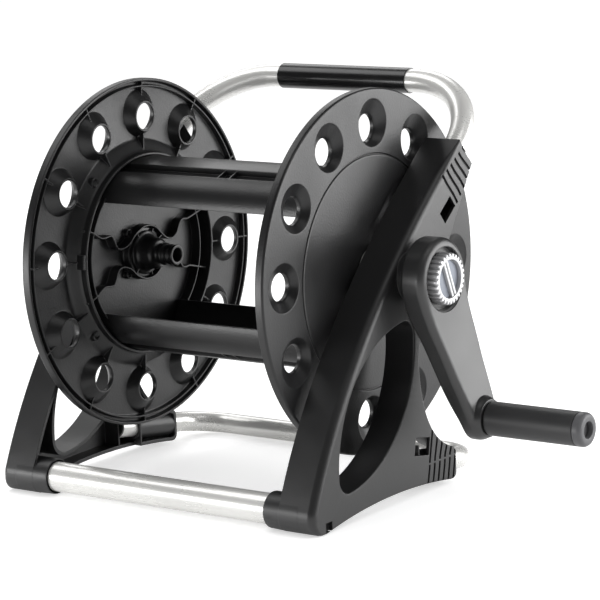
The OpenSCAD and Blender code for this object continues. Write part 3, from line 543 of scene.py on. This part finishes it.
def flangeRibs(f):
    shape = newShape()
    width, flat, top = f["ribWidth"], f["inner"], f["rimIn"]
    for k in range(f["holes"]):
        a = f["holeAngle"] + 360 * k / f["holes"]
        for start, end, base in ((86, 99.6, flat + 0.5), (99.2, 103, 119), (102.6, 105.1, 116.8)):
            rib(shape, [polar(start, a), polar(end, a)], base, flat - 6.2, width, 0.4)
        for start, end, base in ((132.1, 136.5, 117.8), (136, 139.5, 119.5), (139, 143, flat + 0.5)):
            rib(shape, [polar(start, a), polar(end, a)], base, top + 0.9, width, 0.4)
        rib(shape, [polar(143.2, a), polar(148.8, a)], flat, top + 0.5, width, 0.4)
    for middle in (0, 180):
        path = [polar(f["ringRadius"], middle + a) for a in range(-45, 46, 3)]
        rib(shape, path, flat + 0.5, f["ringHeight"], width)
    unturn = Matrix.Rotation(math.radians(-f["turn"]), 2)
    for flip in (1, -1):
        wave = [unturn @ Vector((y, flip * z)) for y, z in upperWave]
        rib(shape, smoothPath(wave, 4), flat + 0.5, f["wavyHeight"], width)
    spokes = ((124, 14, 23), (64, 13, 21.5), (30, 16, 24), (-134, 14, 22), (-74, 13.5, 21), (-40, 16, 24))
    for a, r0, r1 in spokes:  # short ribs around the nose
        path = [polar(r0, a - f["turn"]), polar(r1, a - f["turn"])]
        rib(shape, path, flat, f["hubFace"] - 2.6, 1.2, 0.35)
    small = [(120.9, 3.6), (117.4, 3.5), (116.9, 3.1), (116.9, 2.5), (117.3, 2.2), (119.6, 2.1), (119.6, 0)]
    large = [(120, 4.6), (115.2, 4.4), (114.7, 4.0), (114.7, 3.0), (115.1, 2.6), (118, 2.5), (118, 0)]
    for a in (45, 135, 225, 315):
        lathe(shape, small, 24, polar(f["bossCircle"], a))
        lathe(shape, large, 24, polar(f["screwCircle"], a))
    return shape


latch = dict(start=172.4, end=180.4, inside=86.4, outside=89.6, top=108, base=118)


def latchTab(c, turn):  # the catch on the collar between the core bars
    shape = newShape()
    r0, r1, top, base = c["inside"], c["outside"], c["top"], c["base"]
    section = [(base, r0), (top + 0.6, r0), (top, r0 + 0.6), (top, r1 - 0.6), (top + 0.6, r1), (base, r1)]
    turns = [c["start"] - turn + (c["end"] - c["start"]) * i / 8 for i in range(9)]
    loops = [addLoop(shape, [(x, *polar(r, a)) for x, r in section]) for a in turns]
    stitch(shape, loops)
    shape[1].append(tuple(loops[0]))
    shape[1].append(tuple(reversed(loops[-1])))
    return shape


for side in ("left", "right"):
    shapes = (flangeShape(flange), flangeRibs(flange), latchTab(latch, flange["turn"]))
    solids = [meshOf(side + "Flange", s, flange["turn"], side == "left") for s in shapes]
    for solid in solids:
        tidyMesh(solid)
    addPiece(side + "DrumFlange", joinMeshes(side + "Flange", *solids), side + "_flange")
print("flanges ready")

# hose nose with its shaft, turned about the axle

hoseNose = dict(steps=96, profile=[  # distance along the axle, radius
    (124, nearAxis), (124, 9), (151, 9), (151.45, 9.5), (151.45, 14.5), (151, 15), (121.4, 15), (121, 15.4),
    (121, 19), (112.9, 19), (112.2, 18.4), (111.8, 17), (111.2, 15.6), (109.8, 14.6), (107, 14), (102, 13.5),
    (99.6, 13), (98.4, 12), (97.7, 10.4), (97.2, 8.7), (96.4, 8.1), (94.6, 8.0), (94.0, 8.3), (93.6, 9.2),
    (92.8, 9.7), (91.4, 9.7), (90.8, 9.2), (90.3, 8.0), (89.6, 7.5), (88.2, 7.4), (87.6, 7.7), (87.2, 8.5),
    (86.6, 8.8), (85, 8.8), (84.5, 8.4), (84.1, 7.6), (83.6, 7.4), (82.6, 7.4), (82.1, 7.8), (81.6, 8.6),
    (81, 8.8), (79.7, 8.8), (79.2, 8.6), (79, 8.1), (79, 6.6), (79.3, 6.1), (80, 5.9), (97, 5.8),
    (97, nearAxis)])
noseShape = newShape()
solidLathe(noseShape, hoseNose["profile"], hoseNose["steps"])
noseMesh = meshOf("hoseNose", noseShape, flange["turn"], True)
tidyMesh(noseMesh, 50)
addPiece("hoseNose", noseMesh, "water_spindle", "spindle_screws", "outlet_seal")

# core bars: an open shell with two sunk channels along its crown

coreBar = dict(
    radius=84, wall=3, halfLength=119.7, shoulder=27, shoulderAt=(27.2, 50.09), channel=(19.2, 28.8),
    floor=78.6, ribs=(-6, 6), ribWidth=1.2, ribTop=82.6)


def ray(r, a):
    return Vector((r * math.sin(math.radians(a)), r * math.cos(math.radians(a))))


def barSection(c):  # one closed loop: over the crown, then back along the inside
    r, inside, (near, far), floor = c["radius"], c["radius"] - c["wall"], c["channel"], c["floor"]
    half = arc(c["shoulderAt"], c["shoulder"], -5.6, 58.5, 16)
    half += [ray(r, far + 0.3), ray(r - 0.12, far + 0.08), ray(r - 0.5, far), ray(floor + 0.3, far),
             ray(floor, far - 0.3), ray(floor, near + 0.3), ray(floor + 0.3, near), ray(r - 0.5, near),
             ray(r - 0.12, near - 0.08), ray(r, near - 0.3)] + [ray(r, a) for a in range(18, 0, -3)]
    back = [ray(inside, a) for a in range(0, 18, 3)]
    back += [ray(inside, near - 1.8), ray(floor - 2, near - 1.8), ray(floor - 2, far + 1.8)]
    back += arc(c["shoulderAt"], c["shoulder"] - c["wall"], 52, -6.3, 14)
    mirror = [Vector((-p.x, p.y)) for p in half]
    mirrorBack = [Vector((-p.x, p.y)) for p in back[1:]]
    return half + [ray(r, 0)] + mirror[::-1] + mirrorBack[::-1] + back


def barShape(c):
    shape = newShape()
    section = barSection(c)
    loops = [addLoop(shape, [(x, *p) for p in section]) for x in (-c["halfLength"], c["halfLength"])]
    stitch(shape, loops)
    for loop in loops:
        fillFlat(shape, loop)
    near, far = c["channel"]
    for s in (-1, 1):
        for x in c["ribs"]:
            low, high, half = c["floor"] - 0.8, c["ribTop"], c["ribWidth"] / 2
            corners = ((low, near - 0.6), (low, far + 0.6), (high, far + 0.6), (high, near - 0.6))
            edge = [ray(r, s * a) for r, a in corners]
            sides = [addLoop(shape, [(x + d, *p) for p in edge]) for d in (-half, half)]
            stitch(shape, sides)
            for loop in sides:
                fillFlat(shape, loop)
    return shape


for name, turn in (("upper", 0), ("lower", 180)):
    mesh = meshOf(name + "CoreBar", barShape(coreBar), flange["turn"] + turn)
    tidyMesh(mesh, 30)
    addPiece(name + "CoreBar", mesh, name + "_core_bar")
print("core bars ready")

# crank arm, lock knob and grip

crank = dict(
    turn=12, throw=120, hubRadius=33, endRadius=18.5, rounding=6.5, backRounding=2.5,
    face=[(-40, 193.5), (12, 193.5), (25, 194.8), (38, 197), (57, 201.2), (78, 205.3), (93, 209),
          (105, 211.7), (113, 213.4), (122, 215.2), (140, 215.5)],
    back=[(-40, 172.5), (24, 172.5), (45, 179.8), (65, 184.3), (88, 189.2), (103, 193.6), (119, 199.6),
          (126, 201.3), (140, 201.5)],
    recess=25.3, recessFloor=188.5, collarRadius=16, collarFace=217.6)


def crankShape(c):
    hub, end, throw = c["hubRadius"], c["endRadius"], c["throw"]
    slope = math.degrees(math.acos((hub - end) / throw))
    side = [(0, hub, 180 + (slope - 180) * i / 30) for i in range(31)]  # how far down the arm, radius, turn
    side += [(throw * i / 24, hub + (end - hub) * i / 24, slope) for i in range(1, 24)]
    side += [(throw, end, slope * (1 - i / 18)) for i in range(19)]
    n = len(side)

    def height(table, down):
        xs, ys = zip(*table)
        return float(np.mean(np.interp(down + np.linspace(-6, 6, 13), xs, ys)))

    def outline(rounding, a, table, sign):  # both sides of the arm, part of the way round its edge
        inset, drop = rounding * (1 - math.cos(a)), rounding * (1 - math.sin(a))
        half = []
        for centre, r, turn in side:
            along, across = math.cos(math.radians(turn)), math.sin(math.radians(turn))
            half.append((centre + (r - inset) * along, (r - inset) * across))
        points = half + [(down, -w) for down, w in half[-2:0:-1]]
        return addLoop(shape, [(height(table, down) + sign * drop, w, -down) for down, w in points])

    shape = newShape()
    loops = [outline(c["backRounding"], math.radians(90 - 90 * k / 5), c["back"], 1) for k in range(6)]
    loops += [outline(c["rounding"], math.radians(90 * k / 8), c["face"], -1) for k in range(9)]
    stitch(shape, loops)
    for loop in (loops[0], loops[-1]):  # across the arm from side to side
        total = len(loop)
        shape[1].append((loop[0], loop[1], loop[total - 1]))
        for i in range(1, n - 2):
            shape[1].append((loop[i], loop[i + 1], loop[total - i - 1], loop[total - i]))
        shape[1].append((loop[n - 2], loop[n - 1], loop[n]))
    return shape


def crankCutter(c):
    shape = newShape()
    floor, r = c["recessFloor"], c["recess"]
    solidLathe(shape, [(floor, r), (192.2, r), (192.9, r + 0.15), (193.5, r + 0.7), (194.2, r + 1.8),
                       (240, r + 1.8)], 128)
    return shape


def crankCollar(c):
    shape = newShape()
    x, r = c["collarFace"], c["collarRadius"]
    lathe(shape, [(206, r - 4), (208, r + 2.1), (209.6, r + 2.3), (211.2, r + 2.2), (212.8, r + 1.7),
                  (214.2, r + 1.05), (215.3, r + 0.45), (216, r + 0.15)] + quarter(x, r, 1.3, 1.3)
          + [(x, 9), (x - 0.5, 6.4), (x - 2, 5.6), (207, 5.6)], 96, (0, -c["throw"]), True)
    return shape


arm = meshOf("crankArm", crankShape(crank), crank["turn"])
tidyMesh(arm)
cutter = meshOf("recess", crankCutter(crank), crank["turn"])
tidyMesh(cutter)
arm = combine(arm, cutter, "DIFFERENCE")
tidyMesh(arm, 38)
collar = meshOf("collar", crankCollar(crank), crank["turn"])
tidyMesh(collar)
addPiece("crankArm", joinMeshes("crankArm", arm, collar), "crank_arm")

knob = dict(
    teeth=28, toothSteps=12, tip=21, root=18.9, base=188.7, face=199.4, rounding=1.6, ring=15.6, floor=196.3,
    barWidth=6.6, barFace=198.9, barTilt=22, slit=1.1)


def knobShape(k):
    shape = newShape()
    steps, face, ring, floor = k["toothSteps"], k["face"], k["ring"], k["floor"] - 0.6
    count = k["teeth"] * steps

    def toothed(inset, x):
        points = []
        for i in range(count):
            crest = min(1, max(0, (abs((i % steps) / steps - 0.5) * 2 - 0.34) / 0.22))
            crest = crest * crest * (3 - 2 * crest)
            r = k["root"] + (k["tip"] - k["root"]) * crest - inset
            points.append((x, *polar(r, 360 * i / count)))
        return points

    loops = [addLoop(shape, toothed(0.6, k["base"])), addLoop(shape, toothed(0, k["base"] + 0.6))]
    for a in (0, 22.5, 45, 67.5, 90):
        s, c = math.sin(math.radians(a)), math.cos(math.radians(a))
        loops.append(addLoop(shape, toothed(k["rounding"] * (1 - c), face - k["rounding"] * (1 - s))))
    for x, r in ((face, ring + 0.9), (face - 0.25, ring + 0.25), (face - 0.9, ring), (floor, ring),
                 (floor, nearAxis)):
        loops.append(addLoop(shape, circle(x, 0, 0, r, count)))
    stitch(shape, loops)
    fillFlat(shape, loops[0])
    return shape


def knobBar(k):  # the finger bar across the knob, with a slit along it
    shape = newShape()
    tilt = Matrix.Rotation(math.radians(90 + k["barTilt"]), 2)
    top = k["barFace"]
    for sign in (1, -1):
        y0, y1 = sorted((sign * k["slit"] / 2, sign * k["barWidth"] / 2))
        loops = []
        for inset, x in ((0, k["floor"] - 0.5), (0, top - 0.7), (0.25, top - 0.25), (0.8, top)):
            e0, e1 = (math.sqrt((k["ring"] - 0.1) ** 2 - y * y) - inset for y in (y0, y1))
            corners = [(-e0, y0 + inset), (e0, y0 + inset), (e1, y1 - inset), (-e1, y1 - inset)]
            loops.append(addLoop(shape, [(x, *(tilt @ Vector(p))) for p in corners]))
        stitch(shape, loops)
        fillFlat(shape, loops[0])
        fillFlat(shape, loops[-1])
    return shape


def knobFloor(k):  # the sunk disc behind the bar
    shape = newShape()
    solidLathe(shape, [(k["floor"] - 1, k["ring"] - 0.4), (k["floor"] - 0.3, k["ring"] - 0.3),
                       (k["floor"], k["ring"] - 0.8), (k["floor"], 4)], 96)
    return shape


knobMesh = meshOf("knob", knobShape(knob), crank["turn"])
tidyMesh(knobMesh)
addPiece("lockKnob", knobMesh, "lock_knob")
for name, maker, node in (("knobBar", knobBar, "lock_knob"), ("knobDisc", knobFloor, "knob_cap")):
    mesh = meshOf(name, maker(knob))
    tidyMesh(mesh)
    addPiece(name, mesh, node)

grip = dict(start=218.1, sleeveEnd=300.6, end=309, radius=14, bore=5.4, hole=6.8, holeDepth=14)


def gripShapes(g, c):
    centre = (0, -c["throw"])
    sleeve, cap = newShape(), newShape()
    r, start, join, end, hole = g["radius"], g["start"], g["sleeveEnd"], g["end"], g["hole"]
    bore, bottom = g["bore"], end - g["holeDepth"]
    lathe(sleeve, [(start, bore), (start, r - 1.6), (start + 0.5, r - 0.6), (start + 1.6, r - 0.1),
                   (start + 3, r), (join - 0.8, r), (join - 0.2, r - 0.2), (join, r - 0.7), (join, bore)],
          96, centre, True)
    edge = [(join - 0.3, r - 1.2), (join + 0.3, r - 0.35), (join + 0.9, r)] + quarter(end, r, 4.2, 3.6, 8)
    lathe(cap, edge + [(end, hole + 1.2), (end - 0.3, hole + 0.4), (end - 1.1, hole), (bottom, hole - 0.4),
                       (bottom, nearAxis), (join - 8, nearAxis), (join - 8, r - 1.2)], 96, centre, True)
    return sleeve, cap


gripPieces = (("crankGrip", "grip_sleeve"), ("gripEndCap", "grip_end_cap"))
for shape, (name, node) in zip(gripShapes(grip, crank), gripPieces):
    mesh = meshOf(name, shape, crank["turn"])
    tidyMesh(mesh)
    addPiece(name, mesh, node)
print("crank, knob and grip ready")

# side frames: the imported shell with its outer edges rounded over

sideFrame = dict(
    face=161.5, frontReach=147, axleHeight=184, rearReach=59, archRise=9, footCorner=13, footLength=19,
    frontBoss=15, frontLean=22.5, rearTop=-156.03, rearCorner=5.5, rearLift=3, bayIn=(8, -75.03),
    bayTop=(11.8, -55.03), mouthFront=(78.12, 100.55), mouthRear=(95.80, 78.33), frontRounding=7,
    rounding=1.8, leafMiddle=(-53.95, -96.97), leafTilt=49, leafLength=82, leafWidth=38, leafTip=13,
    bossRadius=21, bossFace=171, tubeRadius=12.7, grooves=6, groovePitch=7.6, grooveDepth=1.8)


def frameOutline(f):  # the frame's edge, with the rounding that each point of it carries
    front, floor = -f["frontReach"], -f["axleHeight"]
    bossAt = Vector((front + f["frontBoss"], floor + f["frontBoss"]))
    lean = math.radians(f["frontLean"])
    start = bossAt + f["frontBoss"] * Vector((-math.cos(lean), math.sin(lean)))
    corner = Vector((f["rearReach"] - f["rearCorner"], f["rearTop"] - 3))
    bayIn, bayTop = Vector(f["bayIn"]), Vector(f["bayTop"])
    heel = Vector((f["rearReach"] - f["rearCorner"], floor + f["rearLift"]))
    rear = Vector(f["mouthRear"])
    pull = rear - 62 * Vector((math.sin(math.radians(34)), math.cos(math.radians(34))))
    big, small = f["frontRounding"], f["rounding"]
    edge = [(p, small + (big - small) * i / 6) for i, p in
            enumerate(arc((front + f["footCorner"], floor + f["footCorner"]), f["footCorner"], 270, 180, 6))]
    edge += [(p, big) for p in arc(bossAt, f["frontBoss"], 180, 182 - f["frontLean"], 4)]
    leg = bend(start, (-0.62 * f["frontReach"], -0.17 * f["axleHeight"]), f["mouthFront"], 48)
    edge += [(p, big if i < 44 else big - 1.1 * (i - 43)) for i, p in enumerate(leg)]
    edge += [(p, small) for p in bend(rear, pull, bayTop + Vector((0.6, 1)), 24)]
    edge += [(p, small) for p in bend(bayTop, bayIn + Vector((-0.3, 12)), bayIn, 8)]
    shoulder = corner + f["rearCorner"] * Vector((math.cos(math.radians(70)), math.sin(math.radians(70))))
    hollow = (bayIn.x + 2.4, f["rearTop"] + 17.5)
    edge += [(p, small) for p in bend(bayIn - Vector((0, 1)), hollow, shoulder, 24)]
    edge += [(p, small) for p in arc(corner, f["rearCorner"], 60, 0, 5)]
    edge += [(p, small) for p in arc(heel + Vector((0, f["rearCorner"])), f["rearCorner"], 0, -90, 6)]
    arch = (f["leafMiddle"][0] + 14, floor + 2 * f["archRise"] - f["rearLift"] / 2)
    edge += [(p, small) for p in bend(heel - Vector((2, 0)), arch, (front + f["footLength"], floor), 30)]
    return edge


def leafOutline(f, grow):  # two wide arcs that meet in rounded tips
    length, width, tipRadius = f["leafLength"], f["leafWidth"], f["leafTip"]
    lens = (length * length + width * width) / (2 * width)
    sideMiddle, core = lens - width, lens - tipRadius
    tip = math.sqrt(core * core - sideMiddle * sideMiddle)
    turn = math.degrees(math.atan2(sideMiddle, tip))
    points = []
    for flip, start in ((1, 0), (-1, 180)):
        points += arc((flip * tip, 0), tipRadius + grow, start - turn, start + turn, 14)[1:]
        points += arc((0, -flip * sideMiddle), lens + grow, start + turn, start + 180 - turn, 52)[1:]
    spin = Matrix.Rotation(math.radians(f["leafTilt"]), 2)
    return [spin @ p + Vector(f["leafMiddle"]) for p in points]


def offsetLoop(points, amounts):  # every point moved inwards by its own amount
    moved = []
    for i, p in enumerate(points):
        a = (p - points[i - 1]).normalized()
        b = (points[(i + 1) % len(points)] - p).normalized()
        across = Vector((a.y, -a.x))
        both = across + Vector((b.y, -b.x))
        moved.append(p + both / max(0.35, both.dot(across)) * amounts[i])
    return moved


def frameEnvelope(f):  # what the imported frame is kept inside, so that its edges come out rounded
    kept = []
    for p, r in frameOutline(f):
        if not kept or (p - kept[-1][0]).length > 0.25:
            kept.append((p, r))
    points, radii = zip(*kept)
    shape = newShape()
    skin, inside, face = 0.06, 100, f["face"]  # the skin is just outside the solid: only its corners are cut
    loops = [addLoop(shape, [(inside, *p) for p in offsetLoop(points, [-skin] * len(points))])]
    for k in range(8):
        a = math.radians(90 * k / 7)
        ring = offsetLoop(points, [r * (1 - math.cos(a)) - skin for r in radii])
        drop = [r * (1 - math.sin(a)) for r in radii]
        loops.append(addLoop(shape, [(face + skin * (k == 7) - d, *p) for p, d in zip(ring, drop)]))
    stitch(shape, loops)
    leaf = []
    for x, grow in ((inside, -skin), (face - 1.5, -skin), (face - 0.75, 0.2), (face - 0.25, 0.7),
                    (face + skin, 1.5)):
        leaf.append(addLoop(shape, [(x, *p) for p in leafOutline(f, grow)]))
    stitch(shape, leaf)
    fillFlat(shape, loops[0], leaf[0])
    fillFlat(shape, loops[-1], leaf[-1])
    return shape


def bearingBoss(f):
    shape = newShape()
    r, x, face = f["bossRadius"], f["bossFace"], f["face"]
    lathe(shape, [(face - 2, r), (face + 2, r)] + quarter(x, r, 1.6, 1.6)
          + [(x, 18.6), (x - 0.5, 18.2), (face - 2, 18.2)], 96, (0, 0), True)
    return shape


def footFairing(f):  # carries the front wall round into the tube's boss
    shape = newShape()
    front, floor = -f["frontReach"] + 0.05, -f["axleHeight"] + 0.05
    at, r = (front + f["frontBoss"], floor + f["frontBoss"]), f["frontBoss"] - 0.05
    corner, end = f["footCorner"] + 0.1, 112.5
    stages = ((146, 0, 0), (132, 0, 0), (128, 0.05, 0), (124, 0.3, 0), (120, 0.7, 0), (116.5, 0.95, 0),
              (113.6, 1, 0), (112.9, 1, 0.25), (end, 1, 0.8))  # along the axle, how round, how far drawn in
    loops = []
    for x, t, drop in stages:
        c = corner + (r - corner) * t
        ring = arc((front + c, floor + c), c, 270, 180, 12) + arc(at, r, 180, -90, 36)[1:-1]
        ring = [Vector(at) + (p - Vector(at)) * (1 - drop / r) for p in ring]
        loops.append(addLoop(shape, [(x, *p) for p in ring]))
    stitch(shape, loops)
    fillFlat(shape, loops[0])
    hole, depth = (addLoop(shape, circle(x, *at, f["tubeRadius"], 48)) for x in (end, end + 5.5))
    stitch(shape, [hole, depth])
    fillFlat(shape, loops[-1], hole)
    fillFlat(shape, depth)
    return shape


def waistGrooves(f):  # brings the two rows of grooves in the rear foot together
    shape = newShape()
    half = 1.3
    for i in range(f["grooves"]):
        y, z = f["rearReach"] - 3 - f["groovePitch"] * i, 20.5 - f["axleHeight"]
        for (ay, az), (by, bz) in (((-0.3, -2), (0.15, 2.3)), ((0.35, 3.7), (0.9, 8))):
            corners = ((ay - half, az), (ay + half, az), (by + half, bz), (by - half, bz))
            loops = [addLoop(shape, [(x, y + dy, z + dz) for dy, dz in corners])
                     for x in (f["face"] - f["grooveDepth"], f["face"] + 1)]
            stitch(shape, loops)
            fillFlat(shape, loops[0])
            fillFlat(shape, loops[1])
    return shape


envelope = frameEnvelope(sideFrame)
for side in ("left", "right"):
    mirrored = side == "left"
    shell = meshOf("envelope", envelope, 0, mirrored)
    tidyMesh(shell)
    mesh = combine(solidOf(side + "_side_frame"), shell, "INTERSECT")
    grooves = meshOf("grooves", waistGrooves(sideFrame), 0, mirrored)
    tidyMesh(grooves)
    mesh = combine(mesh, grooves, "DIFFERENCE")
    tidyMesh(mesh, 28)
    extras = [meshOf("foot", footFairing(sideFrame), 0, mirrored)]
    if side == "right":
        extras.append(meshOf("boss", bearingBoss(sideFrame)))
    for extra in extras:
        tidyMesh(extra)
    addPiece(side + "SideFrame", joinMeshes(side + "Frame", mesh, *extras), side + "_side_frame")
print("side frames ready")

# carried-over pieces: welded, and shaded smooth across their curves


carried = dict(weld=0.01, flat=0.4, crease=34)  # a gap in millimetres, then two angles in degrees


def smoothCurves(obj, c):
    weld = obj.modifiers.new("weld", "WELD")
    weld.merge_threshold = mm(c["weld"])
    flat = obj.modifiers.new("flat", "DECIMATE")
    flat.decimate_type = "DISSOLVE"
    flat.angle_limit = math.radians(c["flat"])
    split = obj.modifiers.new("split", "EDGE_SPLIT")
    split.split_angle = math.radians(c["crease"])
    split.use_edge_sharp = False
    normals = obj.modifiers.new("normals", "WEIGHTED_NORMAL")
    normals.keep_sharp = True


for name, obj in nodes.items():
    for face in obj.data.polygons:
        face.use_smooth = True
    smoothCurves(obj, carried)
